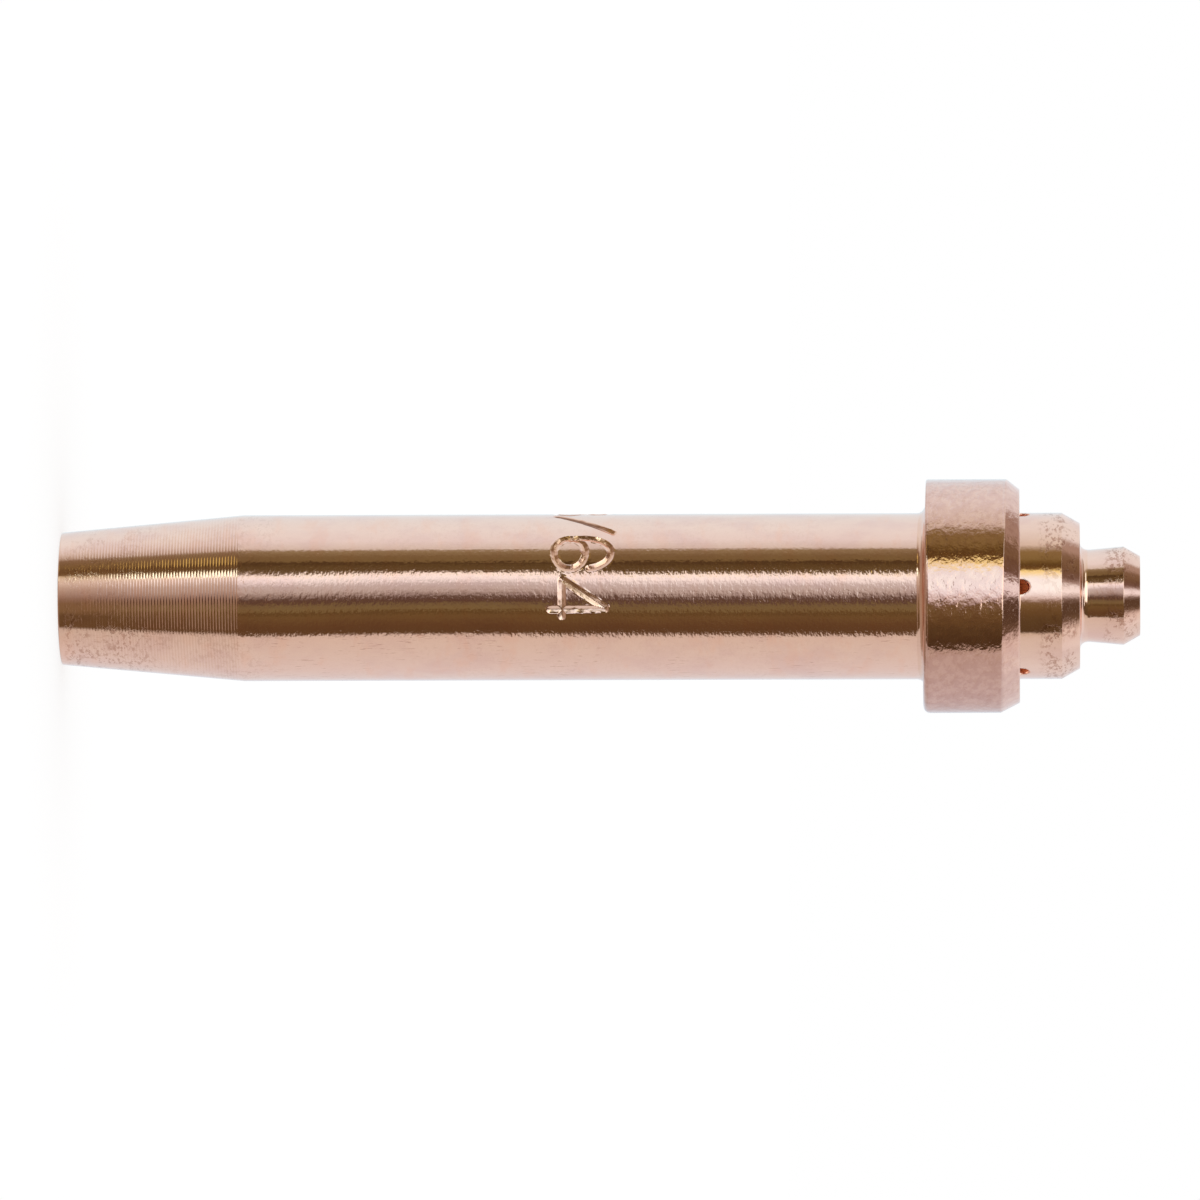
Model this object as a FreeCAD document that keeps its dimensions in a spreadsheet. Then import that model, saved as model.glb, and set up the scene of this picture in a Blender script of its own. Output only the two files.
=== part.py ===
import FreeCAD, Part
import os
import Sketcher

# Cutting tip of an oxy-fuel torch, turned and drilled from one piece of copper.
# Millimetres. The tip's axis is Z. The flame face lies on Z = 0 and the torch end is at the top.

document = FreeCAD.newDocument("oxy_fuel_cutting_tip")

# Driving sizes, each a plain number in the sheet, with what it is
driving_sizes = [
    ("face_dia", 10.8, "flame face, across"),
    ("taper_length", 14.9, "tapered front, from the flame face to the barrel"),
    ("barrel_dia", 13.55, "barrel, across"),
    ("barrel_length", 55.55, "barrel, from the taper to the collar"),
    ("barrel_fillet", 0.6, "radius in the corner between barrel and collar"),
    ("collar_dia", 19.05, "collar that the torch nut pulls on, and first seat, across"),
    ("collar_length", 7.75, "collar, end to end"),
    ("collar_round", 0.35, "radius round the collar's front corner"),
    ("collar_chamfer_length", 1.32, "first cone, along the axis"),
    ("collar_chamfer_depth", 0.82, "first cone, across the axis"),
    ("seat_dia", 13.55, "land between collar and nose, across"),
    ("seat_length", 4.9, "land and second cone, end to end"),
    ("seat_chamfer_length", 1.48, "second cone, along the axis"),
    ("seat_chamfer_depth", 0.84, "second cone, across the axis"),
    ("nose_length", 4.9, "nose, end to end"),
    ("nose_crest_dia", 8.02, "nose at its widest, across"),
    ("nose_waist_depth", 0.25, "how far the waist lies under the crest"),
    ("nose_waist_height", 0.85, "waist above the step face"),
    ("nose_fillet", 0.6, "radius in the corner at the root of the nose"),
    ("nose_chamfer_length", 1.35, "third cone, along the axis"),
    ("nose_chamfer_depth", 0.77, "third cone, across the axis"),
    ("edge_break", 0.08, "small chamfer that takes the sharpness off the turned edges"),
    ("bore_dia", 3.0, "cutting oxygen bore, across"),
    ("bore_mouth", 0.3, "chamfer at the bore's mouth"),
    ("orifice_dia", 1.2, "cutting oxygen orifice, across"),
    ("orifice_length", 15.0, "cutting oxygen orifice, end to end"),
    ("drill_point_angle", 118.0, "included angle of a drill's point, in degrees"),
    ("passage_count", 5, "preheat passages round the bore"),
    ("passage_dia", 1.8, "mixing passage, across"),
    ("passage_wall", 0.875, "copper left outside a passage in the barrel"),
    ("exit_dia", 0.9, "preheat flame hole in the flame face, across"),
    ("exit_circle_dia", 5.8, "circle of the preheat flame holes"),
    ("jet_dia", 0.8, "preheat oxygen jet in the step face, across"),
    ("jet_length", 2.0, "preheat oxygen jet, from the step face down"),
    ("fuel_hole_dia", 1.2, "fuel gas hole in the corner behind the collar, across"),
    ("fuel_hole_angle", 45.0, "fuel gas hole to the tip's axis, in degrees"),
]

sheet = document.addObject("Spreadsheet::Sheet", "sizes")
for row, (alias, value, meaning) in enumerate(driving_sizes, start=1):
    sheet.set(f"A{row}", meaning)
    sheet.set(f"B{row}", str(value))
    sheet.setAlias(f"B{row}", alias)
document.recompute()

# Places worked out from the driving sizes, as expressions that the sketches are bound to
collar_front = "(sizes.taper_length + sizes.barrel_length)"
collar_back = f"({collar_front} + sizes.collar_length)"
step_face = f"({collar_back} + sizes.seat_length)"
nose_end = f"({step_face} + sizes.nose_length)"
nose_crest = f"({nose_end} - sizes.nose_chamfer_length)"
passage_offset = "(sizes.barrel_dia / 2 - sizes.passage_wall - sizes.passage_dia / 2)"
jet_floor = f"({step_face} - sizes.jet_length)"
jet_mouth = f"({step_face} + sizes.nose_fillet)"
half_point = "tan(sizes.drill_point_angle / 2)"
throat_end = f"({jet_floor} - (sizes.passage_dia - sizes.jet_dia) / 2 / {half_point})"

body = document.addObject("PartDesign::Body", "cutting_tip")
body.Label = "cutting_tip"


def origin_part(role):
    for feature in body.Origin.OriginFeatures:
        if feature.Role == role:
            return feature


def new_sketch(name, plane, height="0"):
    sketch = body.newObject("Sketcher::SketchObject", name)
    sketch.AttachmentSupport = [(origin_part(plane), "")]
    sketch.MapMode = "FlatFace"
    sketch.setExpression(".AttachmentOffset.Base.z", height)
    return sketch


# Holds one end of a sketch's line or the centre of its circle at two expressions.
def pin_point(sketch, geometry, end, name, across, along):
    for axis, kind, expression in (("across", "DistanceX", across), ("along", "DistanceY", along)):
        constraint = Sketcher.Constraint(kind, -1, 1, geometry, end, 1.0)
        index = sketch.addConstraint(constraint)
        sketch.renameConstraint(index, f"{name}_{axis}")
        sketch.setExpression(f"Constraints.{name}_{axis}", expression)


# A closed outline through named corners, each given as (name, across, along).
def outline_sketch(name, plane, corners):
    sketch = new_sketch(name, plane)
    count = len(corners)
    for index in range(count):
        start = FreeCAD.Vector(index + 1, index, 0)
        end = FreeCAD.Vector(index + 2, index + 1, 0)
        sketch.addGeometry(Part.LineSegment(start, end), False)
    for index in range(count):
        sketch.addConstraint(Sketcher.Constraint("Coincident", index, 2, (index + 1) % count, 1))
    for index, (corner, across, along) in enumerate(corners):
        pin_point(sketch, index, 1, corner, across, along)
    return sketch


# The line that an outline is spun about, where that isn't the tip's own axis.
def add_axis(sketch, start, end):
    first_guess = Part.LineSegment(FreeCAD.Vector(-5, 0, 0), FreeCAD.Vector(-5, 1, 0))
    line = sketch.addGeometry(first_guess, True)
    pin_point(sketch, line, 1, "axis_start", *start)
    pin_point(sketch, line, 2, "axis_end", *end)


# A circle on the first passage's line, on a plane square to the tip's axis.
def circle_sketch(name, height, offset, diameter):
    sketch = new_sketch(name, "XY_Plane", height)
    sketch.addGeometry(Part.Circle(FreeCAD.Vector(0, -3, 0), FreeCAD.Vector(0, 0, 1), 1), False)
    sketch.addConstraint(Sketcher.Constraint("PointOnObject", 0, 3, -2))
    index = sketch.addConstraint(Sketcher.Constraint("DistanceY", 0, 3, -1, 1, 3.0))
    sketch.renameConstraint(index, "offset")
    sketch.setExpression("Constraints.offset", offset)
    index = sketch.addConstraint(Sketcher.Constraint("Diameter", 0, 2.0))
    sketch.renameConstraint(index, "diameter")
    sketch.setExpression("Constraints.diameter", diameter)
    return sketch


def spun(kind, name, sketch, axis):
    feature = body.newObject(kind, name)
    feature.Profile = (sketch, [""])
    feature.ReferenceAxis = (sketch, [axis])
    feature.Angle = 360
    document.recompute()
    return feature


# The circles that corners of a turned outline leave on the solid, by their radius and height.
def turned_edges(feature, sketch, corners):
    found = []
    for number, edge in enumerate(feature.Shape.Edges, start=1):
        if not isinstance(edge.Curve, Part.Circle):
            continue
        for corner in corners:
            across = sketch.getDatum(f"{corner}_across").Value
            along = sketch.getDatum(f"{corner}_along").Value
            if abs(edge.Curve.Radius - across) < 1e-5 and abs(edge.Curve.Center.z - along) < 1e-5:
                found.append(f"Edge{number}")
    return found


def dressed(kind, name, feature, sketch, corners, setting, size):
    dressing = body.newObject(kind, name)
    dressing.Base = (feature, turned_edges(feature, sketch, corners))
    dressing.setExpression(setting, size)
    document.recompute()
    return dressing


def rounded(name, feature, sketch, corners, radius):
    return dressed("PartDesign::Fillet", name, feature, sketch, corners, "Radius", radius)


def chamfered(name, feature, sketch, corners, size):
    return dressed("PartDesign::Chamfer", name, feature, sketch, corners, "Size", size)


# Turned outline, from the flame face up to the end of the nose
collar_cone = f"({collar_back} - sizes.collar_chamfer_length)"
seat_cone = f"({step_face} - sizes.seat_chamfer_length)"
nose_waist = f"({step_face} + sizes.nose_waist_height)"
turned_outline = outline_sketch("turned_outline", "XZ_Plane", [
    ("face_centre", "0", "0"),
    ("face_rim", "sizes.face_dia / 2", "0"),
    ("taper_end", "sizes.barrel_dia / 2", "sizes.taper_length"),
    ("barrel_end", "sizes.barrel_dia / 2", collar_front),
    ("collar_rim", "sizes.collar_dia / 2", collar_front),
    ("collar_cone", "sizes.collar_dia / 2", collar_cone),
    ("collar_back", "sizes.collar_dia / 2 - sizes.collar_chamfer_depth", collar_back),
    ("seat_root", "sizes.seat_dia / 2", collar_back),
    ("seat_cone", "sizes.seat_dia / 2", seat_cone),
    ("step_rim", "sizes.seat_dia / 2 - sizes.seat_chamfer_depth", step_face),
    ("nose_root", "sizes.nose_crest_dia / 2 - sizes.nose_waist_depth", step_face),
    ("nose_waist", "sizes.nose_crest_dia / 2 - sizes.nose_waist_depth", nose_waist),
    ("nose_crest", "sizes.nose_crest_dia / 2", nose_crest),
    ("nose_rim", "sizes.nose_crest_dia / 2 - sizes.nose_chamfer_depth", nose_end),
    ("nose_centre", "0", nose_end),
])
blank = spun("PartDesign::Revolution", "turned_blank", turned_outline, "V_Axis")
blank = rounded("barrel_corner", blank, turned_outline, ["barrel_end"], "sizes.barrel_fillet")
blank = rounded("nose_corner", blank, turned_outline, ["nose_root"], "sizes.nose_fillet")
blank = rounded("collar_corner", blank, turned_outline, ["collar_rim"], "sizes.collar_round")
sharp_corners = ["face_rim", "collar_cone", "collar_back", "seat_cone", "step_rim", "nose_crest", "nose_rim"]
blank = chamfered("broken_edges", blank, turned_outline, sharp_corners, "sizes.edge_break")
solid_volume = blank.Shape.Volume

# Cutting oxygen bore, drilled from the nose, with the finer orifice reamed through the flame face
bore_radius = "sizes.bore_dia / 2"
orifice_radius = "sizes.orifice_dia / 2"
bore_floor = f"(sizes.orifice_length + ({bore_radius} - {orifice_radius}) / {half_point})"
bore_outline = outline_sketch("bore_outline", "XZ_Plane", [
    ("exit_centre", "0", "0"),
    ("exit_rim", orifice_radius, "0"),
    ("orifice_end", orifice_radius, "sizes.orifice_length"),
    ("bore_floor", bore_radius, bore_floor),
    ("mouth_root", bore_radius, f"{nose_end} - sizes.bore_mouth"),
    ("mouth_rim", f"{bore_radius} + sizes.bore_mouth", nose_end),
    ("mouth_centre", "0", nose_end),
])
bore = spun("PartDesign::Groove", "cutting_oxygen_bore", bore_outline, "V_Axis")

# One preheat passage beside the bore: the jet in the step face, its throat and the mixing passage.
# The jet's outline runs on past the step face, so that it also clears the radius at the nose's root.
passage_outline = outline_sketch("passage_outline", "YZ_Plane", [
    ("passage_centre", f"-{passage_offset}", "sizes.taper_length"),
    ("passage_rim", f"-{passage_offset} - sizes.passage_dia / 2", "sizes.taper_length"),
    ("throat_rim", f"-{passage_offset} - sizes.passage_dia / 2", throat_end),
    ("jet_rim", f"-{passage_offset} - sizes.jet_dia / 2", jet_floor),
    ("jet_mouth", f"-{passage_offset} - sizes.jet_dia / 2", jet_mouth),
    ("jet_centre", f"-{passage_offset}", jet_mouth),
])
add_axis(passage_outline, (f"-{passage_offset}", "sizes.taper_length"), (f"-{passage_offset}", jet_mouth))
passage = spun("PartDesign::Groove", "preheat_passage", passage_outline, "Axis0")

# The same passage where it narrows and leans in towards the flame face
wide_end = circle_sketch("converging_start", "sizes.taper_length", passage_offset, "sizes.passage_dia")
narrow_end = circle_sketch("flame_hole", "0", "sizes.exit_circle_dia / 2", "sizes.exit_dia")
converging = body.newObject("PartDesign::SubtractiveLoft", "converging_passage")
converging.Profile = (wide_end, [""])
converging.Sections = [(narrow_end, [""])]
converging.Ruled = True
document.recompute()

# Fuel gas hole, drilled at a slant into the corner behind the collar until it meets the passage
seat_radius = "sizes.seat_dia / 2"
slant_across = "sin(sizes.fuel_hole_angle)"
slant_along = "cos(sizes.fuel_hole_angle)"
fuel_radius = "sizes.fuel_hole_dia / 2"
lead_in = "(2 * sizes.fuel_hole_dia)"
reach = f"(({seat_radius} - {passage_offset}) / {slant_across})"
outer_across = f"-({seat_radius} + {lead_in} * {slant_across})"
outer_along = f"({collar_back} + {lead_in} * {slant_along})"
inner_across = f"-{passage_offset}"
inner_along = f"({collar_back} - {reach} * {slant_along})"
rim_across = f"{fuel_radius} * {slant_along}"
rim_along = f"{fuel_radius} * {slant_across}"
fuel_outline = outline_sketch("fuel_outline", "YZ_Plane", [
    ("outer_centre", outer_across, outer_along),
    ("outer_rim", f"{outer_across} + {rim_across}", f"{outer_along} + {rim_along}"),
    ("inner_rim", f"{inner_across} + {rim_across}", f"{inner_along} + {rim_along}"),
    ("inner_centre", inner_across, inner_along),
])
add_axis(fuel_outline, (inner_across, inner_along), (outer_across, outer_along))
fuel_hole = spun("PartDesign::Groove", "fuel_gas_hole", fuel_outline, "Axis0")

# The passage and its fuel hole, repeated round the bore
ring = body.newObject("PartDesign::PolarPattern", "preheat_ring")
ring.Originals = [passage, converging, fuel_hole]
ring.Axis = (origin_part("Z_Axis"), [""])
ring.Angle = 360
ring.setExpression("Occurrences", "sizes.passage_count")
body.Tip = ring
document.recompute()

for part_object in document.Objects:
    if "Invalid" in part_object.State or "Error" in part_object.State:
        raise RuntimeError(f"{part_object.Name} failed: {part_object.State}")
tip = body.Shape
if tip.isNull() or not tip.isValid() or len(tip.Solids) != 1:
    raise RuntimeError("cutting_tip is not one valid solid")
for cut in (bore, passage, converging, fuel_hole, ring):
    if cut.Shape.Volume >= solid_volume:
        raise RuntimeError(f"{cut.Name} cuts nothing")
    solid_volume = cut.Shape.Volume

print(f"length {tip.BoundBox.ZLength:.3f} mm, volume {tip.Volume:.1f} mm3")
os.makedirs("parts", exist_ok=True)
tip.exportStep("parts/cutting_tip.step")
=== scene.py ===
import math
import bpy
import numpy
from mathutils import Matrix, Vector, noise


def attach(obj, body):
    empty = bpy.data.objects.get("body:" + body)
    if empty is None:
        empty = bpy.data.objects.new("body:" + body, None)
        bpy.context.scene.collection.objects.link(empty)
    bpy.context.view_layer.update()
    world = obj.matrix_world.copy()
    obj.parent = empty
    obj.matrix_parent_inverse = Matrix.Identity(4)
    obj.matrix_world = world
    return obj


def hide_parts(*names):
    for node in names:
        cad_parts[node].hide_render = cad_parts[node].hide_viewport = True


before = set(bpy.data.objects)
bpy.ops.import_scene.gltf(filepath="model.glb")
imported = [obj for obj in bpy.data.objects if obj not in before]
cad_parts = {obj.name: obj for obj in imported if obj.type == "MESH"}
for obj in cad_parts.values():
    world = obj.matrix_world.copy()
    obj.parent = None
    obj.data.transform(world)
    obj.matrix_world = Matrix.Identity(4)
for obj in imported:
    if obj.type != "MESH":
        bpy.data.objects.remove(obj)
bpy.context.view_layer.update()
mm = 0.001
bpy.context.scene.view_settings.view_transform = "Standard"


# What the camera sees: the tip lies across the picture, flame end to the left

photoView = {
    "pixelsWide": 1200,
    "pixelsPerMm": 12.26,
    "distance": 1.055,          # camera to the tip's axis
    "heightOnAxis": 0.0800,     # the point of the axis that the camera is square to
    "aimOnAxis": 0.04396,       # the point of the axis in the middle of the picture
    "aimBelow": 0.00023,        # the picture's middle lies this far under the axis
    "turn": 6.3,                # degrees round the tip from the first fuel gas hole
    "roll": 0.17,               # degrees, torch end up
    "sensor": 36.0,
}


def towardCamera():
    turn = math.radians(photoView["turn"])
    return Vector((math.sin(turn), -math.cos(turn), 0))


def upInPicture():
    turn = math.radians(photoView["turn"])
    return Vector((-math.cos(turn), -math.sin(turn), 0))


def placeCamera():
    view = photoView
    place = towardCamera() * view["distance"] + Vector((0, 0, view["heightOnAxis"]))
    aim = Vector((0, 0, view["aimOnAxis"])) - upInPicture() * view["aimBelow"]
    back = (place - aim).normalized()
    roll = math.radians(view["roll"])
    across = Vector((0, 0, 1))
    across = (across - back * across.dot(back)).normalized()
    upright = back.cross(across)
    right = across * math.cos(roll) - upright * math.sin(roll)
    up = across * math.sin(roll) + upright * math.cos(roll)
    bpy.ops.object.camera_add(location=place)
    camera = bpy.context.object
    camera.name = "photoCamera"
    axes = Matrix((right, up, back)).transposed()
    camera.rotation_mode = "QUATERNION"
    camera.rotation_quaternion = axes.to_quaternion()
    width = view["pixelsWide"] / view["pixelsPerMm"] * mm
    camera.data.sensor_width = view["sensor"]
    camera.data.lens = view["sensor"] * view["distance"] / width
    bpy.context.scene.camera = camera


# A small wrapper that lets sockets be added, multiplied and so on

class Wire:
    def __init__(self, tree, socket):
        self.tree = tree
        self.socket = socket

    def maths(self, operation, *values):
        return self.tree.add("ShaderNodeMath", {"operation": operation}, *values)

    def __add__(self, other):
        return self.maths("ADD", self, other)

    def __sub__(self, other):
        return self.maths("SUBTRACT", self, other)

    def __rsub__(self, other):
        return self.maths("SUBTRACT", other, self)

    def __mul__(self, other):
        return self.maths("MULTIPLY", self, other)

    def __truediv__(self, other):
        return self.maths("DIVIDE", self, other)

    def __rtruediv__(self, other):
        return self.maths("DIVIDE", other, self)

    def low(self, other):
        return self.maths("MINIMUM", self, other)

    def high(self, other):
        return self.maths("MAXIMUM", self, other)

    def size(self):
        return self.maths("ABSOLUTE", self)

    def ease(self, start, end):
        settings = {"interpolation_type": "SMOOTHSTEP"}
        return self.tree.add("ShaderNodeMapRange", settings, self, start, end)

    def within(self, start, full, fade, end):
        return self.ease(start, full) * (1 - self.ease(fade, end))

    __radd__ = __add__
    __rmul__ = __mul__


class Tree:
    def __init__(self, holder):
        holder.use_nodes = True
        self.nodes = holder.node_tree.nodes
        self.links = holder.node_tree.links
        self.nodes.clear()

    # Adds a node: its settings first, then the values or wires of its sockets, by order or by name
    def add(self, kind, settings=None, *values, out=0, **named):
        node = self.nodes.new(kind)
        for name, value in (settings or {}).items():
            if name == "stops":
                self.setStops(node.color_ramp, value)
            else:
                setattr(node, name, value)
        for key, value in [*enumerate(values), *named.items()]:
            socket = node.inputs[key if isinstance(key, int) else key.replace("_", " ")]
            if isinstance(value, Wire):
                self.links.new(value.socket, socket)
            elif value is not None:
                socket.default_value = value
        if node.outputs:
            return Wire(self, node.outputs[out])

    def setStops(self, ramp, stops):
        while len(ramp.elements) < len(stops):
            ramp.elements.new(1.0)
        for element, (place, colour) in zip(ramp.elements, stops):
            element.position = place
            element.color = (*colour, 1)

    # Two colours, each a wire or plain red, green and blue
    def blend(self, factor, first, second):
        colours = [value if isinstance(value, Wire) else (*value, 1) for value in (first, second)]
        return self.add("ShaderNodeMix", {"data_type": "RGBA"}, factor, *[None] * 5, *colours, out=2)

    def stretch(self, vector, *amounts):
        return self.add("ShaderNodeVectorMath", {"operation": "MULTIPLY"}, vector, amounts)

    def cloud(self, vector, scale, detail, rough):
        return self.add("ShaderNodeTexNoise", None, Vector=vector, Scale=scale, Detail=detail,
                        Roughness=rough)


# The studio: white all round, with a warm dark side behind the camera that the copper mirrors in bands

studioBands = {
    # degrees round the tip from the camera, upward in the picture, and the light from there
    "alongBarrel": [
        (-180, (0.80, 0.90, 1.00)), (-120, (0.79, 0.78, 0.81)), (-80, (0.76, 0.72, 0.69)),
        (-54.1, (0.73, 0.66, 0.60)), (-52.6, (0.12, 0.07, 0.03)), (-40, (0.13, 0.07, 0.03)),
        (-25, (0.17, 0.11, 0.042)), (-23, (0.13, 0.08, 0.028)), (-19.5, (0.13, 0.08, 0.028)),
        (-17.5, (0.215, 0.165, 0.07)), (-10, (0.19, 0.145, 0.07)), (-6, (0.115, 0.065, 0.045)),
        (-0.5, (0.12, 0.075, 0.055)),
        (4.6, (0.38, 0.33, 0.31)), (10, (0.56, 0.53, 0.52)), (18, (0.64, 0.63, 0.66)),
        (22.5, (0.92, 0.97, 1.04)), (28, (1.14, 1.22, 1.30)), (33.2, (1.18, 1.20, 1.12)),
        (35, (0.14, 0.095, 0.04)), (46, (0.12, 0.08, 0.03)), (48, (0.085, 0.05, 0.02)),
        (50.5, (0.085, 0.05, 0.02)), (52, (0.20, 0.145, 0.06)), (60, (0.21, 0.15, 0.07)),
        (69, (0.31, 0.25, 0.14)),
        (71.5, (0.74, 0.73, 0.70)), (86, (0.89, 0.93, 0.98)), (110, (0.92, 1.02, 1.08)),
        (180, (0.80, 0.95, 1.04)),
    ],
    "onTaper": [
        (-180, (0.74, 0.86, 0.98)), (-125, (0.74, 0.72, 0.71)), (-90, (0.72, 0.67, 0.64)),
        (-54.5, (0.66, 0.60, 0.53)), (-51, (0.15, 0.09, 0.04)), (-30, (0.14, 0.085, 0.037)),
        (-22, (0.22, 0.145, 0.07)), (-8, (0.235, 0.155, 0.08)), (0, (0.31, 0.22, 0.165)),
        (8, (0.43, 0.34, 0.28)), (18, (0.56, 0.48, 0.41)), (27, (0.74, 0.67, 0.60)),
        (36, (0.76, 0.70, 0.56)), (38.5, (0.62, 0.54, 0.36)), (41, (0.19, 0.12, 0.05)),
        (49, (0.16, 0.095, 0.04)), (57, (0.21, 0.14, 0.06)), (69, (0.25, 0.17, 0.10)),
        (74, (0.48, 0.40, 0.32)), (84, (0.73, 0.69, 0.63)), (100, (0.86, 0.88, 0.86)),
        (180, (0.84, 0.95, 1.03)),
    ],
    "roundHead": [
        (-180, (0.84, 0.88, 0.93)), (-118, (0.82, 0.83, 0.86)), (-62, (0.74, 0.68, 0.62)),
        (-54.9, (0.68, 0.60, 0.50)), (-52, (0.10, 0.06, 0.025)), (-34, (0.12, 0.075, 0.029)),
        (-22, (0.155, 0.095, 0.035)), (-13, (0.19, 0.125, 0.05)), (-8, (0.24, 0.165, 0.10)),
        (-3.5, (0.72, 0.66, 0.66)), (2, (1.02, 1.09, 1.16)), (9, (1.18, 1.38, 1.48)),
        (24, (1.12, 1.30, 1.37)), (28, (1.12, 1.20, 0.98)), (34.9, (1.14, 1.04, 0.42)),
        (37.9, (0.17, 0.09, 0.02)), (43, (0.12, 0.07, 0.02)), (48, (0.17, 0.11, 0.03)),
        (53, (0.25, 0.18, 0.065)), (65, (0.28, 0.20, 0.08)), (71, (0.50, 0.44, 0.34)),
        (75, (0.76, 0.72, 0.64)), (88, (0.84, 0.85, 0.81)), (108, (0.90, 0.95, 0.97)),
        (180, (0.88, 0.94, 1.0)),
    ],
    "onCones": [
        (-180, (0.86, 0.90, 0.94)), (-100, (0.88, 0.88, 0.89)), (-70, (0.84, 0.77, 0.72)),
        (-62, (0.64, 0.55, 0.50)), (-52, (0.18, 0.12, 0.075)), (-40, (0.115, 0.07, 0.04)),
        (-17, (0.11, 0.065, 0.038)), (-7, (0.24, 0.18, 0.15)), (0, (0.66, 0.62, 0.62)),
        (7, (1.06, 1.11, 1.16)), (20, (0.98, 1.02, 1.07)), (28, (0.42, 0.34, 0.31)),
        (37, (0.19, 0.12, 0.09)), (50, (0.175, 0.105, 0.06)), (64, (0.215, 0.14, 0.075)),
        (78, (0.245, 0.165, 0.10)),
        (88, (0.46, 0.36, 0.29)), (108, (0.43, 0.33, 0.27)), (114, (0.53, 0.46, 0.42)),
        (132, (0.61, 0.57, 0.55)), (145, (0.73, 0.74, 0.77)), (180, (0.86, 0.92, 0.98)),
    ],
    "taperStarts": (11.0, 12.5),    # degrees of fall where the taper's bands take over
    "headStarts": (1.5, 4.0),       # degrees of rise where the head's bands take over
    "conesStart": (36, 42),
    # lights that only some slopes mirror: degrees of rise, degrees round, the light and its share
    "glints": [
        ((11, 17, 34, 42), (-20, -12, 33, 38), (1.7, 1.65, 1.5), 1.0),
        ((44, 48, 51.5, 54), (-34, -28, 14, 18), (1.35, 1.35, 1.25), 1.0),
        ((21, 24, 32, 36), (33, 37, 60, 68), (1.25, 1.3, 1.15), 1.0),
    ],
    # lights that the flanks of the taper's feed marks mirror: degrees round, the light and its share
    "flanks": (-26, -24, -18.0, -16.7),     # degrees of rise
    "rungs": [
        ((30, 33, 39, 42), (2.1, 2.5, 2.1), 1.0),
        ((47, 51, 61, 65), (0.80, 0.64, 0.21), 0.85),
        ((-50, -46, 20, 28), (0.60, 0.48, 0.40), 0.42),
    ],
    # how far the barrel's bands turn for each degree of rise, from where, and the limits
    "twist": (2.2, -2.0, -2.2, 3.3),
    "fallTurn": (6, 8, 4.2),        # they turn on by this much at the barrel's flame end
    "twisted": (-75, -65, 42, 50),  # degrees round between which they turn
    "overhead": (70, 79),           # where the bands fade into a white ceiling and floor
    "overheadLight": (0.98, 1.0, 1.02),
    "underfoot": (40, 56),
    "underfootLight": (0.42, 0.31, 0.23),
    "fill": (0.95, 0.95, 0.95),     # what lights the floor
}


def buildStudio():
    bands = studioBands
    world = bpy.data.worlds.new("whiteStudio")
    bpy.context.scene.world = world
    tree = Tree(world)
    ray = tree.add("ShaderNodeTexCoord")
    dot = {"operation": "DOT_PRODUCT"}
    ahead = tree.add("ShaderNodeVectorMath", dot, ray, towardCamera(), out="Value")
    above = tree.add("ShaderNodeVectorMath", dot, ray, upInPicture(), out="Value")
    along = tree.add("ShaderNodeSeparateXYZ", None, ray, out="Z")
    degrees = 180 / math.pi
    around = above.maths("ARCTAN2", above, ahead) * degrees
    lift = along.maths("ARCSINE", along) * degrees
    fall = 0 - lift
    head = lift.ease(*bands["headStarts"])
    taper = fall.ease(*bands["taperStarts"])
    rate, level, least, most = bands["twist"]
    fallStart, fallEnd, furtherTurn = bands["fallTurn"]
    twist = ((lift - level) * rate).high(least).low(most) + fall.ease(fallStart, fallEnd) * furtherTurn
    twist = twist * (1 - head) * (1 - taper)
    place = (around + twist * around.within(*bands["twisted"])) / 360 + 0.5

    def ramp(name):
        stops = [((angle + 180) / 360, colour) for angle, colour in bands[name]]
        return tree.add("ShaderNodeValToRGB", {"stops": stops}, place)

    mirrored = tree.blend(taper, ramp("alongBarrel"), ramp("onTaper"))
    flank = lift.within(*bands["flanks"])
    for rounds, colour, share in bands["rungs"]:
        mirrored = tree.blend(flank * around.within(*rounds) * share, mirrored, colour)
    mirrored = tree.blend(head, mirrored, ramp("roundHead"))
    mirrored = tree.blend(lift.ease(*bands["conesStart"]), mirrored, ramp("onCones"))
    for rises, rounds, colour, share in bands["glints"]:
        mirrored = tree.blend(lift.within(*rises) * around.within(*rounds) * share, mirrored, colour)
    mirrored = tree.blend(lift.ease(*bands["overhead"]), mirrored, bands["overheadLight"])
    mirrored = tree.blend(fall.ease(*bands["underfoot"]), mirrored, bands["underfootLight"])
    glossy = tree.add("ShaderNodeLightPath", out="Is Glossy Ray")
    seen = tree.add("ShaderNodeLightPath", out="Is Camera Ray")
    light = tree.blend(glossy, bands["fill"], mirrored)
    light = tree.blend(seen, light, (1, 1, 1))
    glow = tree.add("ShaderNodeBackground", None, light, 1.0)
    tree.add("ShaderNodeOutputWorld", None, glow)


floorLook = {
    "size": 6.0,
    "drop": 0.00002,
    "colour": (0.9, 0.9, 0.9),
    "glow": 0.6,            # how much of what the camera sees of it is its own light
    "glowLight": 1.12,
}


def layFloor():
    look = floorLook
    bpy.ops.mesh.primitive_plane_add(size=look["size"], location=(0, 0, -look["drop"]))
    floor = bpy.context.object
    floor.name = "paleFloor"
    floor.visible_glossy = False
    material = bpy.data.materials.new("paleFloor")
    tree = Tree(material)
    matt = tree.add("ShaderNodeBsdfDiffuse", None, (*look["colour"], 1))
    glow = tree.add("ShaderNodeEmission", None, (1, 1, 1, 1), look["glowLight"])
    seen = tree.add("ShaderNodeLightPath", out="Is Camera Ray") * look["glow"]
    surface = tree.add("ShaderNodeMixShader", None, seen, matt, glow)
    tree.add("ShaderNodeOutputMaterial", None, surface)
    floor.data.materials.append(material)


placeCamera()
buildStudio()
layFloor()
print("camera, studio and floor are up")


# Selecting and growing, as by hand in edit mode

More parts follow.
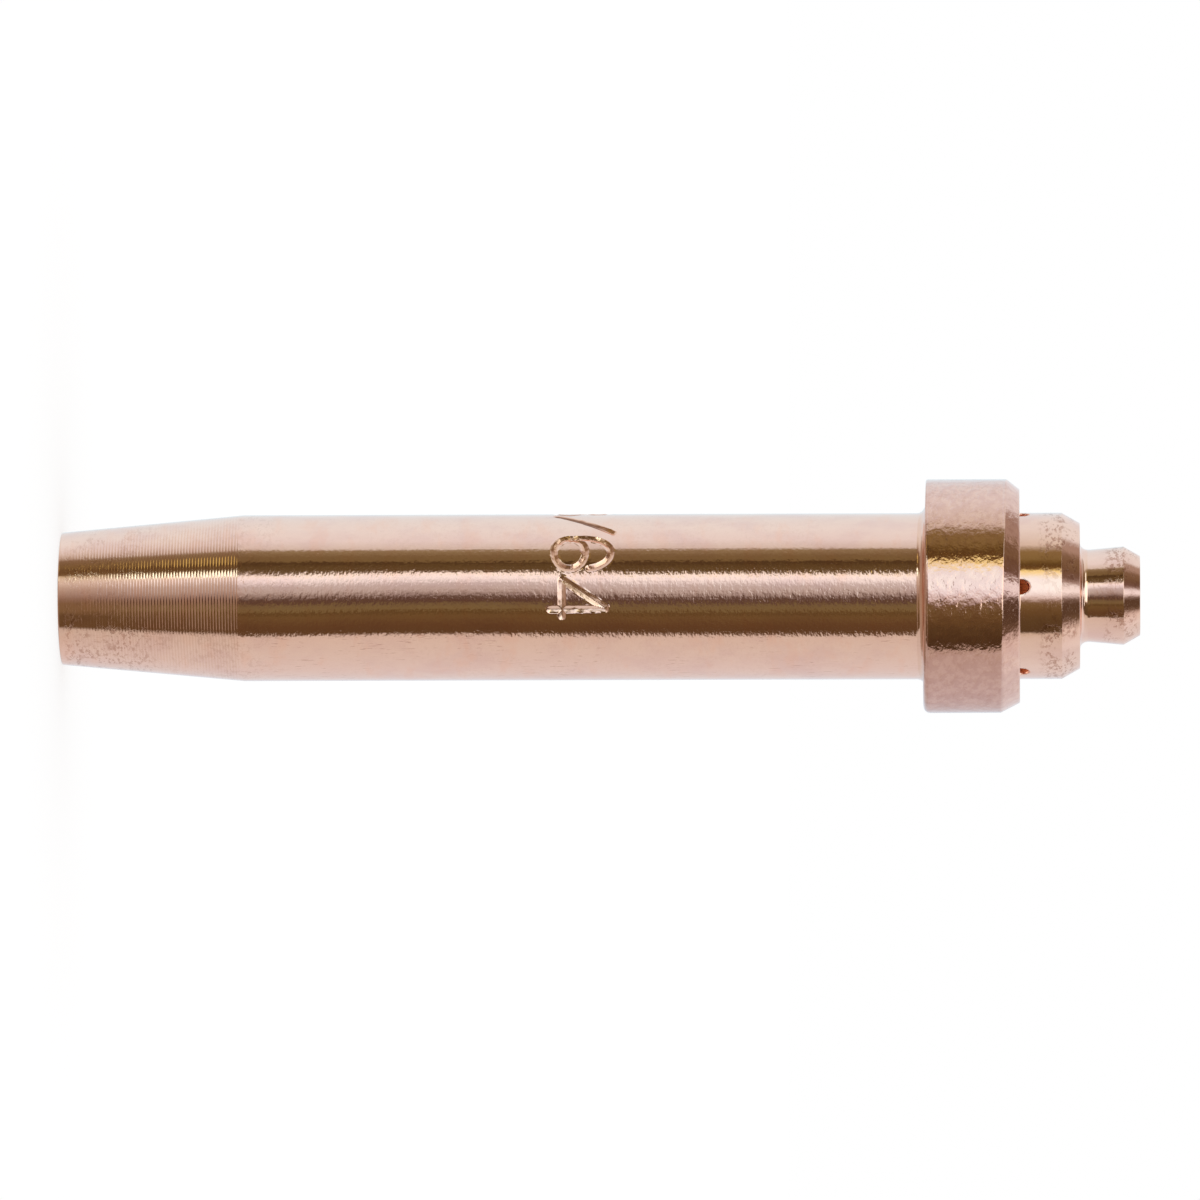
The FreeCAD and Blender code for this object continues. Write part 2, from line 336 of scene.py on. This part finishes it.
def clearSelection():
    for thing in bpy.context.selected_objects:
        thing.select_set(False)


def pickVertices(thing, test):
    bpy.ops.object.mode_set(mode="OBJECT")
    for face in thing.data.polygons:
        face.select = False
    for edge in thing.data.edges:
        edge.select = False
    for vertex in thing.data.vertices:
        vertex.select = test(vertex.co)
    bpy.context.tool_settings.mesh_select_mode = (True, False, False)
    bpy.ops.object.mode_set(mode="EDIT")


def pickFaces(thing, test):
    bpy.ops.object.mode_set(mode="OBJECT")
    mesh = thing.data
    for vertex in mesh.vertices:
        vertex.select = False
    for edge in mesh.edges:
        edge.select = False
    for face in mesh.polygons:
        face.select = test(face)
    bpy.context.tool_settings.mesh_select_mode = (False, False, True)
    bpy.ops.object.mode_set(mode="EDIT")


# Starts with one ring and grows the next ones from it, each a (centre across x, y, height, radius) in mm
def growRings(name, rings, sides, capped):
    clearSelection()
    x, y, height, radius = rings[0]
    fill = "NGON" if capped else "NOTHING"
    bpy.ops.mesh.primitive_circle_add(
        vertices=sides, radius=radius * mm, fill_type=fill, location=(x * mm, y * mm, height * mm))
    thing = bpy.context.object
    thing.name = name
    bpy.ops.object.transform_apply(location=True, rotation=True, scale=True)
    bpy.ops.object.mode_set(mode="EDIT")
    bpy.ops.mesh.select_mode(type="EDGE")
    bpy.ops.mesh.select_all(action="SELECT")
    grow = bpy.ops.mesh.extrude_region_move if capped else bpy.ops.mesh.extrude_edges_move
    for nextX, nextY, nextHeight, nextRadius in rings[1:]:
        move = ((nextX - x) * mm, (nextY - y) * mm, (nextHeight - height) * mm)
        grow(TRANSFORM_OT_translate={"value": move})
        ratio = nextRadius / radius
        centre = (nextX * mm, nextY * mm, nextHeight * mm)
        if ratio != 1:
            bpy.ops.transform.resize(value=(ratio, ratio, 1), center_override=centre)
        x, y, height, radius = nextX, nextY, nextHeight, nextRadius
    bpy.ops.mesh.select_all(action="SELECT")
    bpy.ops.mesh.remove_doubles(threshold=outline["weld"] * mm)
    bpy.ops.mesh.normals_make_consistent(inside=False)
    bpy.ops.object.mode_set(mode="OBJECT")
    return thing


def carve(thing, cutter):
    clearSelection()
    bpy.context.view_layer.objects.active = thing
    thing.select_set(True)
    cut = thing.modifiers.new("cut", "BOOLEAN")
    cut.operation = "DIFFERENCE"
    cut.solver = "EXACT"
    cut.object = cutter
    bpy.ops.object.modifier_apply(modifier=cut.name)
    bpy.data.objects.remove(cutter, do_unlink=True)


def joined(things):
    clearSelection()
    for thing in things:
        thing.select_set(True)
    bpy.context.view_layer.objects.active = things[0]
    bpy.ops.object.join()
    return bpy.context.object


# The turned outline in mm: radii, and heights from the flame face

outline = {
    "faceRadius": 5.4,
    "taperLength": 14.9,
    "barrelRadius": 6.775,
    "collarFront": 70.45,
    "collarRadius": 9.524,
    "collarBack": 78.2,
    "collarCone": (1.32, 0.82),     # along and across
    "landRadius": 6.775,
    "stepFace": 83.1,
    "landCone": (1.48, 0.84),
    "noseRoot": 3.76,
    "noseWaist": 0.85,
    "noseCrest": 4.01,
    "noseEnd": 88.0,
    "noseCone": (1.35, 0.77),
    "boreRadius": 1.5,
    "boreMouth": 0.3,
    "boreFloor": 15.54,
    "orificeRadius": 0.6,
    "orificeLength": 15.0,
    "sides": 160,
    "weld": 0.002,
    "cornerSteps": 4,
    "cornerMargin": 0.03,       # each rounded corner has one more ring this far to either side
    "ringMargin": 0.02,
    "innermostRing": 3,         # extra rings go on the outside alone
    "holeRows": (0.25, 6),      # rings behind the collar, where the fuel gas holes come out
}

# The radius of each turned edge and corner, in mm
edges = {
    "face": 0.1,
    "barrelRoot": 0.6,
    "collarFront": 0.35,
    "coneStart": 0.22,
    "collarBack": 0.09,
    "landRoot": 0.05,
    "landCone": 0.06,
    "step": 0.08,
    "noseRoot": 0.6,
    "noseWaist": 0.2,
    "noseCrest": 0.07,
    "noseEnd": 0.08,
    "boreMouth": 0.05,
}

feedMarks = {"pitch": 0.245, "shallow": 0.0006, "deep": 0.0046, "from": 0.35, "until": 14.6}

markWindow = {"bottom": 39.2, "top": 45.9, "rows": 25, "cuts": 4, "first": -22, "last": 112}


# Rounds each corner of an outline given as (radius, height, corner radius)
def roundedOutline(corners):
    steps, margin = outline["cornerSteps"], outline["cornerMargin"]
    points = []
    for index, (radius, height, corner) in enumerate(corners):
        here = Vector((radius, height))
        if not corner:
            points.append(tuple(here))
            continue
        before = (Vector(corners[index - 1][:2]) - here).normalized()
        after = (Vector(corners[index + 1][:2]) - here).normalized()
        half = before.angle(after) / 2
        reach = corner / math.tan(half)
        middle = (before + after).normalized()
        centre = here + middle * (corner / math.sin(half))
        start = here + before * reach - centre
        end = here + after * reach - centre
        turn = start.angle_signed(end)
        points.append(tuple(here + before * (reach + margin)))
        for step in range(steps + 1):
            spoke = Matrix.Rotation(-turn * step / steps, 2) @ start
            points.append(tuple(centre + spoke))
        points.append(tuple(here + after * (reach + margin)))
    return points


def turnedOutline():
    o, e = outline, edges
    coneAlong, coneAcross = o["collarCone"]
    landAlong, landAcross = o["landCone"]
    noseAlong, noseAcross = o["noseCone"]
    barrel, land, collar = o["barrelRadius"], o["landRadius"], o["collarRadius"]
    mouth = o["boreRadius"] + o["boreMouth"]
    corners = [
        (o["orificeRadius"], 0, 0),
        (o["faceRadius"], 0, e["face"]),
        (barrel, o["taperLength"], 0),
        (barrel, o["collarFront"], e["barrelRoot"]),
        (collar, o["collarFront"], e["collarFront"]),
        (collar, o["collarBack"] - coneAlong, e["coneStart"]),
        (collar - coneAcross, o["collarBack"], e["collarBack"]),
        (land, o["collarBack"], e["landRoot"]),
        (land, o["stepFace"] - landAlong, e["landCone"]),
        (land - landAcross, o["stepFace"], e["step"]),
        (o["noseRoot"], o["stepFace"], e["noseRoot"]),
        (o["noseRoot"], o["stepFace"] + o["noseWaist"], e["noseWaist"]),
        (o["noseCrest"], o["noseEnd"] - noseAlong, e["noseCrest"]),
        (o["noseCrest"] - noseAcross, o["noseEnd"], e["noseEnd"]),
        (mouth, o["noseEnd"], e["boreMouth"]),
        (o["boreRadius"], o["noseEnd"] - o["boreMouth"], 0),
        (o["boreRadius"], o["boreFloor"], 0),
        (o["orificeRadius"], o["orificeLength"], 0),
        (o["orificeRadius"], 0, 0),
    ]
    return roundedOutline(corners)


# Puts extra rings between two heights of the outline, moved out or in by a rule
def withRings(points, heights, shift=lambda height: 0):
    margin = outline["ringMargin"]
    made = []
    for (r0, z0), (r1, z1) in zip(points, points[1:]):
        made.append((r0, z0))
        if z1 > z0 and r0 > outline["innermostRing"]:
            for height in heights:
                if z0 + margin < height < z1 - margin:
                    share = (height - z0) / (z1 - z0)
                    made.append((r0 + (r1 - r0) * share + shift(height), height))
    made.append(points[-1])
    return made


# The collar is not quite true: its cone starts on a slant, and its front edge is rounder at one side
collarFaults = {
    "coneTilt": -1.5,       # degrees
    "coneReach": 0.14,      # the rings this near to the cone's start tilt, in mm
    "roundShift": 0.2,
    "frontTilt": -0.8,
    "frontReach": (0.4, 0.1, 0.7),      # the front face from this far off the barrel, and round it
    "rim": (0.1, 0.01),
    "near": 0.002,
    "flatNear": 0.035,      # the rings at both ends of the round corner
}


def tiltRing(tip, radii, heights, push, degrees):
    def onRing(point):
        away = math.hypot(point.x, point.y) / mm
        return radii[0] < away < radii[1] and heights[0] < point.z / mm < heights[1]

    pickVertices(tip, onRing)
    if push:
        bpy.ops.transform.translate(value=upInPicture() * push * mm)
    if degrees:
        middle = (0, 0, sum(heights) / 2 * mm)
        bpy.ops.transform.rotate(value=math.radians(degrees), orient_axis="Y", center_override=middle)
    bpy.ops.object.mode_set(mode="OBJECT")


def skewCollar(tip):
    faults, radius, front = collarFaults, outline["collarRadius"], outline["collarFront"]
    coneStart = outline["collarBack"] - outline["collarCone"][0]
    shift, rounding, steps = faults["roundShift"], edges["collarFront"], outline["cornerSteps"]
    reach, near, flat = faults["coneReach"], faults["near"], faults["flatNear"]
    inward, outward = faults["rim"]
    clearSelection()
    tip.select_set(True)
    bpy.context.view_layer.objects.active = tip
    rim = (radius - inward, radius + outward)
    tiltRing(tip, rim, (coneStart - reach, coneStart + reach), 0, faults["coneTilt"])
    for step in range(steps + 1):
        turn = math.radians(90 / steps * step)
        away = radius - rounding * (1 - math.sin(turn))
        height = front + rounding * (1 - math.cos(turn))
        radii = (away - (flat if step == 0 else near), away + near)
        heights = (height - near, height + (flat if step == steps else near))
        tilt = math.degrees(shift * (1 - math.cos(turn)) / radius)
        tiltRing(tip, radii, heights, shift * (1 - math.sin(turn)), tilt)
    offBarrel, under, over = faults["frontReach"]
    wholeFront = (outline["barrelRadius"] + offBarrel, radius + outward)
    tiltRing(tip, wholeFront, (front - under, front + over), 0, faults["frontTilt"])


def turnTip():
    points = turnedOutline()
    half = feedMarks["pitch"] / 2
    count = int((feedMarks["until"] - feedMarks["from"]) / half)
    grooves = [feedMarks["from"] + half * step for step in range(count)]
    growth = (feedMarks["deep"] - feedMarks["shallow"]) / feedMarks["until"]
    depths = {}
    for step, height in enumerate(grooves):
        depths[height] = -(feedMarks["shallow"] + growth * height) * (step % 2)
    points = withRings(points, grooves, lambda height: depths[height])
    window = markWindow
    rowHeight = (window["top"] - window["bottom"]) / window["rows"]
    rows = [window["bottom"] + rowHeight * step for step in range(window["rows"] + 1)]
    points = withRings(points, rows)
    apart, count = outline["holeRows"]
    nearHoles = [outline["collarBack"] + apart * step for step in range(1, count + 1)]
    points = withRings(points, nearHoles)
    rings = [(0, 0, height, radius) for radius, height in points]
    tip = growRings("copperTip", rings, outline["sides"], False)
    skewCollar(tip)
    print("turned", len(rings), "rings")
    return tip


# The gas ways: a leaning passage with its jet, and the slanted fuel gas hole that meets it

gasWays = {
    "count": 5,
    "sides": 28,
    "exitOffset": 2.9,
    "exitRadius": 0.45,
    "offset": 5.0,
    "radius": 0.9,
    "throat": 80.8,
    "jetFloor": 81.1,
    "jetRadius": 0.4,
    "overrun": 0.9,
    "fuelRadius": 0.6,
    "fuelSlant": 45,
    "fuelLead": 1.7,
    "fuelMeets": 76.425,
    "fuelSides": 32,
    "rimBreak": 0.07,
    "rimNear": 0.006,
    "rimHeights": (0.005, 80.6),    # the rims lie from this far under the collar's back up to here
    "rimInside": 6.7,
}


def drillGasWays(tip):
    g = gasWays
    passages, fuelHoles = [], []
    lean = (g["offset"] - g["exitOffset"]) / outline["taperLength"]
    widen = (g["radius"] - g["exitRadius"]) / outline["taperLength"]
    stations = [
        (g["exitOffset"] - lean * g["overrun"], -g["overrun"], g["exitRadius"] - widen * g["overrun"]),
        (g["offset"], outline["taperLength"], g["radius"]),
        (g["offset"], g["throat"], g["radius"]),
        (g["offset"], g["jetFloor"], g["jetRadius"]),
        (g["offset"], outline["stepFace"] + g["overrun"], g["jetRadius"]),
    ]
    slant = math.radians(g["fuelSlant"])
    outer = Vector((outline["landRadius"] + g["fuelLead"], outline["collarBack"] + g["fuelLead"]))
    inner = Vector((g["offset"], g["fuelMeets"]))
    middle = (outer + inner) / 2
    for number in range(g["count"]):
        angle = math.radians(-90 + 360 / g["count"] * number)
        x, y = math.cos(angle), math.sin(angle)
        rings = [(offset * x, offset * y, height, radius) for offset, height, radius in stations]
        passages.append(growRings("passage", rings, g["sides"], True))
        clearSelection()
        bpy.ops.mesh.primitive_cylinder_add(
            vertices=g["fuelSides"], radius=g["fuelRadius"] * mm, depth=(outer - inner).length * mm,
            location=(middle.x * x * mm, middle.x * y * mm, middle.y * mm), rotation=(0, slant, angle))
        bpy.ops.object.transform_apply(location=True, rotation=True, scale=True)
        fuelHoles.append(bpy.context.object)
    carve(tip, joined(passages))
    carve(tip, joined(fuelHoles))
    aim = Vector((math.sin(slant), math.cos(slant)))
    sector = 2 * math.pi / g["count"]
    under, top = g["rimHeights"]

    def onRim(point):
        if not (outline["collarBack"] - under) * mm <= point.z <= top * mm:
            return False
        turn = math.atan2(point.y, point.x) + math.pi / 2
        turn -= round(turn / sector) * sector
        away = math.hypot(point.x, point.y) / mm
        spot = Vector((away * math.cos(turn), point.z / mm)) - inner
        gap = math.hypot(spot.cross(aim), away * math.sin(turn))
        return abs(gap - g["fuelRadius"]) < g["rimNear"] and away > g["rimInside"]

    pickVertices(tip, onRim)
    bpy.ops.mesh.bevel(offset=g["rimBreak"] * mm, segments=2, affect="EDGES")
    bpy.ops.object.mode_set(mode="OBJECT")
    print("gas ways drilled,", len(tip.data.polygons), "faces")


# The orifice size, engraved round the barrel as plain digits that read towards the first gas hole

digitStrokes = {
    # each stroke is a list of (across, up), in shares of the digit's width and height
    "4": [[(0.10, 0.18), (0.94, 0.18)], [(0.775, -0.02), (0.77, 0.92)], [(0.10, 0.20), (0.74, 0.92)]],
    "/": [[(0.05, 0.06), (0.89, 1.05)]],
}


def ellipseArc(centre, reach, start, end, steps=22):
    points = []
    for step in range(steps + 1):
        angle = math.radians(start + (end - start) * step / steps)
        points.append((centre[0] + reach[0] * math.cos(angle), centre[1] + reach[1] * math.sin(angle)))
    return points


digitStrokes["6"] = [
    ellipseArc((0.46, 0.31), (0.41, 0.27), 0, 360),
    ellipseArc((0.46, 0.53), (0.42, 0.49), 205, 14),
]
digitStrokes["3"] = [
    ellipseArc((0.46, 0.75), (0.40, 0.24), 160, -80),
    ellipseArc((0.48, 0.27), (0.45, 0.27), 85, -160),
]

engraving = {
    "text": "3/64",
    "middle": -6.4,         # degrees round the tip of the last digit's middle
    "pitch": 31.1,          # degrees from digit to digit
    "width": 30.2,          # degrees
    "foot": 40.25,          # mm from the flame face
    "height": 4.7,
    "halfWidth": 0.32,
    "depth": 0.165,
    "burrWidth": 0.11,
    "burr": 0.022,
    "worn": (0.9, 0.25, 1.7),       # depth of the grooves: even share, uneven share and its grain
    "crumbled": (0.5, 1.6, 2.1),    # the same for the burrs
    "inReach": 0.1,
}


def roundTip(point):
    return math.degrees(math.atan2(-point.x, -point.y))


def inWindow(point):
    window = markWindow
    far = math.hypot(point.x, point.y) > (outline["barrelRadius"] - engraving["inReach"]) * mm
    high = window["bottom"] * mm < point.z < window["top"] * mm
    return far and high and window["first"] < roundTip(point) < window["last"]


def engraveSize(tip):
    cut = engraving
    clearSelection()
    tip.select_set(True)
    bpy.context.view_layer.objects.active = tip
    pickFaces(tip, lambda face: inWindow(face.center))
    bpy.ops.mesh.subdivide(number_cuts=markWindow["cuts"])
    bpy.ops.object.mode_set(mode="OBJECT")
    segments = []
    last = len(cut["text"]) - 1
    arc = math.radians(1) * outline["barrelRadius"]
    for place, digit in enumerate(cut["text"]):
        left = cut["middle"] + cut["pitch"] * (last - place) + cut["width"] / 2
        for stroke in digitStrokes[digit]:
            path = [((left - u * cut["width"]) * arc, cut["foot"] + v * cut["height"]) for u, v in stroke]
            segments += zip(path, path[1:])
    starts = numpy.array([start for start, end in segments])
    runs = numpy.array([end for start, end in segments]) - starts
    lengths = (runs ** 2).sum(axis=1)
    grooves = tip.vertex_groups.new(name="grooves")
    burrs = tip.vertex_groups.new(name="burrs")
    marked = tip.vertex_groups.new(name="marked")
    reach = cut["halfWidth"]
    evenDepth, unevenDepth, depthGrain = cut["worn"]
    evenBurr, unevenBurr, burrGrain = cut["crumbled"]
    for vertex in tip.data.vertices:
        point = vertex.co
        if not inWindow(point):
            continue
        marked.add([vertex.index], 1.0, "REPLACE")
        here = numpy.array((roundTip(point) * arc, point.z / mm))
        share = (((here - starts) * runs).sum(axis=1) / lengths).clip(0, 1)
        away = numpy.sqrt(((here - starts - runs * share[:, None]) ** 2).sum(axis=1)).min()
        if away > reach + cut["burrWidth"]:
            continue
        spot = Vector((here[0], here[1], 0))
        worn = evenDepth + unevenDepth * noise.noise(spot * depthGrain)
        crumbled = max(0.0, evenBurr + unevenBurr * noise.noise(spot * burrGrain + Vector((7, 3, 1))))
        if away < reach:
            grooves.add([vertex.index], min(1.0, (1 - away / reach) * worn), "REPLACE")
        edge = 1 - abs(away - reach) / cut["burrWidth"]
        if edge > 0:
            burrs.add([vertex.index], min(1.0, edge * crumbled), "REPLACE")
    rounding = tip.modifiers.new("rounding", "CAST")
    rounding.cast_type = "CYLINDER"
    rounding.use_z = False
    rounding.factor = 1.0
    rounding.use_radius_as_size = False
    rounding.size = outline["barrelRadius"] * mm
    rounding.vertex_group = "marked"
    for name, strength in (("burrs", cut["burr"]), ("grooves", -cut["depth"])):
        press = tip.modifiers.new(name, "DISPLACE")
        press.vertex_group = name
        press.mid_level = 0.0
        press.strength = strength * mm
    for name in ("rounding", "burrs", "grooves"):
        bpy.ops.object.modifier_apply(modifier=name)
    tip.vertex_groups.clear()
    print("orifice size engraved")


# Copper, tumbled and handled: pink metal with a soft ripple, turning lines, small pits and stains, with
# painted shade in the turning lines' troughs, under the collar and in the mark, and a painted highlight
# in the mark

copper = {
    "pink": (0.90, 0.64, 0.53),
    "mauve": (0.85, 0.585, 0.50),
    "collar": (0.77, 0.515, 0.45),
    # painted shade on the collar's under side, where it faces down
    "paintedUnderShade": (0.61, 0.38, 0.33),         # the collar's under side
    "tarnish": (0.46, 0.24, 0.17),
    "blush": (0.90, 0.55, 0.42),
    # painted highlight in the mark's lower strokes
    "paintedMarkHighlight": (1.0, 0.76, 0.65),
    # painted warm shade in the mark's upper strokes
    "paintedMarkWarmShade": (0.84, 0.52, 0.38),
    # painted shade in the mark's strokes near the top
    "markShade": (0.27, 0.135, 0.09),
    "inside": (0.74, 0.20, 0.065),
}

# the grain of each kind of wear: how it is squeezed, how fine it is, its detail and its roughness
grains = {
    "ripple": ((1.2, 1.2, 1.5), 2.3, 1.5, 0.5),
    "dents": ((1, 1, 1), 4.2, 1.0, 0.5),
    "dimples": ((1, 1, 1.15), 1.35, 2.7, 0.58),     # the hammered look of the collar
    "streaks": ((0.5, 0.5, 5.0), 1.6, 2.0, 0.6),
    "swell": ((1, 1, 0.25), 0.5, 1.0, 0.4),
    "wear": ((1, 1, 3.0), 0.9, 3.0, 0.6),
    "clouds": ((1, 1, 0.6), 0.42, 4.0, 0.6),
    "stains": ((1, 1, 1.6), 1.9, 4.0, 0.70),
    "stainPatches": ((1, 1, 1), 0.55, 2.0, 0.5),
    "scratches": ((2.6, 2.6, 0.33), 2.4, 3.0, 0.6),
    "scratchPatches": ((1, 1, 1), 0.28, 1.0, 0.5),
    "blush": ((0.6, 0.6, 1.3), 0.5, 3.0, 0.6),
}

# where each of them shows in its grain: from, and fully
shows = {
    "dents": (0.62, 0.74),
    "wear": (0.30, 0.60),
    "mauve": (0.40, 0.70),
    "collarMottle": (0.38, 0.60),
    # the grain that mottles the painted shade under the collar
    "paintedUnderShadeMottle": (0.42, 0.60),
    "stains": (0.50, 0.58),
    "stainPatches": (0.35, 0.54),
    "scratches": (0.61, 0.67),
    "scratchPatches": (0.42, 0.54),
    "blush": (0.50, 0.72),
}

# how strongly each colours the copper
strengths = {
    "stains": 0.70,
    "stainsOffTaperTop": 0.55,
    "scratches": 0.4,
    "blush": 0.4,
    # painted shade in the troughs of the taper's feed marks, and how much weaker it is where the copper
    # faces up or down
    "turning": 0.17,
    "troughShadeOffSides": 0.11,
    # the mark's painted highlight, painted warm shade and painted shade
    "paintedMarkHighlight": 0.45,
    "paintedMarkWarmShade": 0.75,
    "markShade": 0.92,
}

# how high each stands in mm
heights = {
    "ripple": 0.0094,
    "rippleOffHead": 0.0058,
    "headDimples": 0.008,
    "collarDimples": 0.030,
    "lean": 0.07,           # the collar and the land lean by this much for each mm
    "streaks": 0.0016,
    "dents": 0.0016,
    "swell": 0.006,
    "stains": 0.0035,
    "turning": 0.0030,
}

# how far up or down a place faces in the photo, 1 on top, where some looks begin and end
sides = {
    # where the painted shade under the collar begins and is full
    "paintedUnderShade": (0.16, 0.44),
    "taperTop": (0.2, 0.5),
    "stained": (0.15, 0.42),
    "scratched": (0.3, 0.5),
    # where the painted shade in the feed marks' troughs fades
    "turned": (0.40, 0.72),
    # where the mark's painted highlight gives way to its painted warm shade
    "markUpper": (0.24, 0.32),
    # where the painted shade in the mark's strokes begins and is full
    "markTop": (0.78, 0.88),
    "calm": (0.47, 0.56),
}

# heights from the flame face in mm where the finish changes
spans = {
    "taperEnds": (14.55, 14.75),
    "collarStarts": (70.2, 70.6),
    "coneStarts": (76.6, 77.0),
    "collarEnds": (78.0, 78.3),
    "mark": (39.2, 39.4, 45.7, 45.9),
    "barrelWays": (0.15, 0.5, 77.6, 78.0),
    "landWays": (75.5, 75.6, 81.0, 81.4),
    "jets": (80.9, 81.0, 82.7, 83.0),
}

# the bare walls of the gas ways lie within these radii in mm, and the mark's under its own
walls = {"underSkin": 0.34, "land": 6.66, "jets": 5.8, "nose": 1.62, "mark": 6.755, "edge": 0.05}

# where the copper is stained: height from, full, fade and end in mm, and how much
stained = [
    (0.2, 0.8, 4.0, 12.0, 0.9), (9.0, 12.0, 14.5, 20.0, 0.3), (18.0, 30.0, 60.0, 69.0, 0.08),
    (70.0, 70.5, 78.0, 78.2, 0.26), (79.4, 80.6, 82.6, 83.0, 1.0), (84.6, 85.8, 87.4, 88.0, 1.0),
]

leanEnds = {"collar": 76.85, "land": 81.6}

polish = {"roughness": 0.06, "cloudy": 0.04, "inside": 0.25, "mark": 0.12, "insideMetal": 0.3}


def copperFinish():
    material = bpy.data.materials.new("copper")
    tree = Tree(material)
    spot = tree.stretch(tree.add("ShaderNodeTexCoord", out="Object"), 1 / mm, 1 / mm, 1 / mm)
    z = tree.add("ShaderNodeSeparateXYZ", None, spot, out="Z")
    flat = tree.stretch(spot, 1, 1, 0)
    away = tree.add("ShaderNodeVectorMath", {"operation": "LENGTH"}, flat, out="Value")
    dot = {"operation": "DOT_PRODUCT"}
    upward = tree.add("ShaderNodeVectorMath", dot, spot, upInPicture(), out="Value")
    facing = upward / away
    facingDown = 0 - facing
    sideways = facing.size()

    def grain(name):
        squeeze, fineness, detail, rough = grains[name]
        return tree.cloud(tree.stretch(spot, *squeeze), fineness, detail, rough)

    def shown(name):
        return grain(name).ease(*shows[name])

    # where the turned parts begin and end
    onTaper = 1 - z.ease(*spans["taperEnds"])
    onHead = z.ease(*spans["collarStarts"])
    onCollar = onHead * (1 - z.ease(*spans["collarEnds"]))
    flare = (outline["barrelRadius"] - outline["faceRadius"]) / outline["taperLength"]
    skin = (outline["faceRadius"] + z * flare).low(outline["barrelRadius"])
    edge = walls["edge"]
    inBarrel = (skin - walls["underSkin"] - away).ease(0, edge) * z.within(*spans["barrelWays"])
    inLand = (walls["land"] - away).ease(0, edge) * z.within(*spans["landWays"])
    inNose = (walls["nose"] - away).ease(0, 2 * edge)
    inJets = (walls["jets"] - away).ease(0, edge) * z.within(*spans["jets"])
    inside = inBarrel.high(inLand).high(inNose).high(inJets)
    inMark = (walls["mark"] - away).ease(0, edge + 0.01) * z.within(*spans["mark"])

    # the surface: tumbled ripple, dimples, fine streaks, and the taper's feed marks
    dimples = grain("dimples")
    clouds = grain("clouds")
    wave = z * (2 * math.pi / feedMarks["pitch"])
    turning = wave.maths("SINE", wave) * onTaper * (z * 0.10) * (0.5 + shown("wear") * 0.5)

    # the colour
    colour = tree.blend(clouds.ease(*shows["mauve"]), copper["pink"], copper["mauve"])
    mottled = 0.50 + 0.50 * dimples.ease(*shows["collarMottle"])
    colour = tree.blend(onCollar * mottled, colour, copper["collar"])
    # painted shade: the collar's under side is darkened where it faces down, mottled by the dimples
    under = onCollar * (1 - z.ease(*spans["coneStarts"]))
    under = under * (0 - upward / outline["collarRadius"]).ease(*sides["paintedUnderShade"])
    mottled = 0.70 + 0.30 * dimples.ease(*shows["paintedUnderShadeMottle"])
    colour = tree.blend(under * mottled, colour, copper["paintedUnderShade"])
    stains = shown("stains") * shown("stainPatches")
    stains = stains * (1 - onTaper * facing.ease(*sides["taperTop"]) * strengths["stainsOffTaperTop"])
    amount = 0
    for start, full, fade, end, share in stained:
        amount = amount + z.within(start, full, fade, end) * share
    stains = (stains * amount).low(1) * (0.25 + 0.75 * sideways.ease(*sides["stained"]))
    colour = tree.blend(stains * strengths["stains"], colour, copper["tarnish"])
    scratched = shown("scratches") * shown("scratchPatches") * (1 - onHead)
    scratched = scratched * facingDown.ease(*sides["scratched"])
    colour = tree.blend(scratched * strengths["scratches"], colour, copper["tarnish"])
    colour = tree.blend(shown("blush") * (1 - onHead) * strengths["blush"], colour, copper["blush"])
    # painted shade in the troughs of the taper's feed marks, weaker where the copper faces up or down
    turned = strengths["turning"] - sideways.ease(*sides["turned"]) * strengths["troughShadeOffSides"]
    colour = tree.blend((0 - turning).high(0) * turned, colour, copper["tarnish"])
    upper = facing.ease(*sides["markUpper"])
    # painted highlight in the mark's lower strokes
    colour = tree.blend(inMark * (1 - upper) * strengths["paintedMarkHighlight"], colour, copper["paintedMarkHighlight"])
    # painted warm shade in the mark's upper strokes
    colour = tree.blend(inMark * upper * strengths["paintedMarkWarmShade"], colour, copper["paintedMarkWarmShade"])
    # painted shade in the mark's strokes near the top
    shade = inMark * strengths["markShade"] * facing.ease(*sides["markTop"])
    colour = tree.blend(shade, colour, copper["markShade"])
    colour = tree.blend(inside, colour, copper["inside"])

    # the height, with calmer copper on the taper and on top
    calm = (1 - onTaper * 0.75) * (1 - facing.ease(*sides["calm"]) * 0.5)
    height = grain("ripple") * calm * (heights["ripple"] - onHead * heights["rippleOffHead"])
    height = height + dimples * (onHead * heights["headDimples"] + onCollar * heights["collarDimples"])
    collarLean = (z - outline["collarFront"]).high(0).low(leanEnds["collar"] - outline["collarFront"])
    landLean = (z - outline["collarBack"]).high(0).low(leanEnds["land"] - outline["collarBack"])
    height = height - (collarLean + landLean) * heights["lean"]
    height = height + grain("streaks") * heights["streaks"]
    height = height - shown("dents") * calm * (1 - onHead) * heights["dents"]
    height = height + grain("swell") * heights["swell"] - stains * heights["stains"]
    height = height + turning * heights["turning"]
    bump = tree.add("ShaderNodeBump", None, Strength=1.0, Distance=mm, Height=height)
    roughness = polish["roughness"] + clouds * polish["cloudy"]
    roughness = roughness + inside * polish["inside"] + inMark * polish["mark"]
    metallic = 1 - inside * (1 - polish["insideMetal"])
    metal = tree.add("ShaderNodeBsdfPrincipled", None, Base_Color=colour, Metallic=metallic,
                     Roughness=roughness, Normal=bump)
    tree.add("ShaderNodeOutputMaterial", None, metal)
    return material


tip = turnTip()
drillGasWays(tip)
engraveSize(tip)
clearSelection()
tip.select_set(True)
bpy.context.view_layer.objects.active = tip
bpy.ops.object.shade_smooth_by_angle(angle=math.radians(24))
tip.data.materials.clear()
tip.data.materials.append(copperFinish())
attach(tip, "root")
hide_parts("cutting_tip")
tip.data.calc_loop_triangles()
print("tip finished,", len(tip.data.loop_triangles), "triangles")
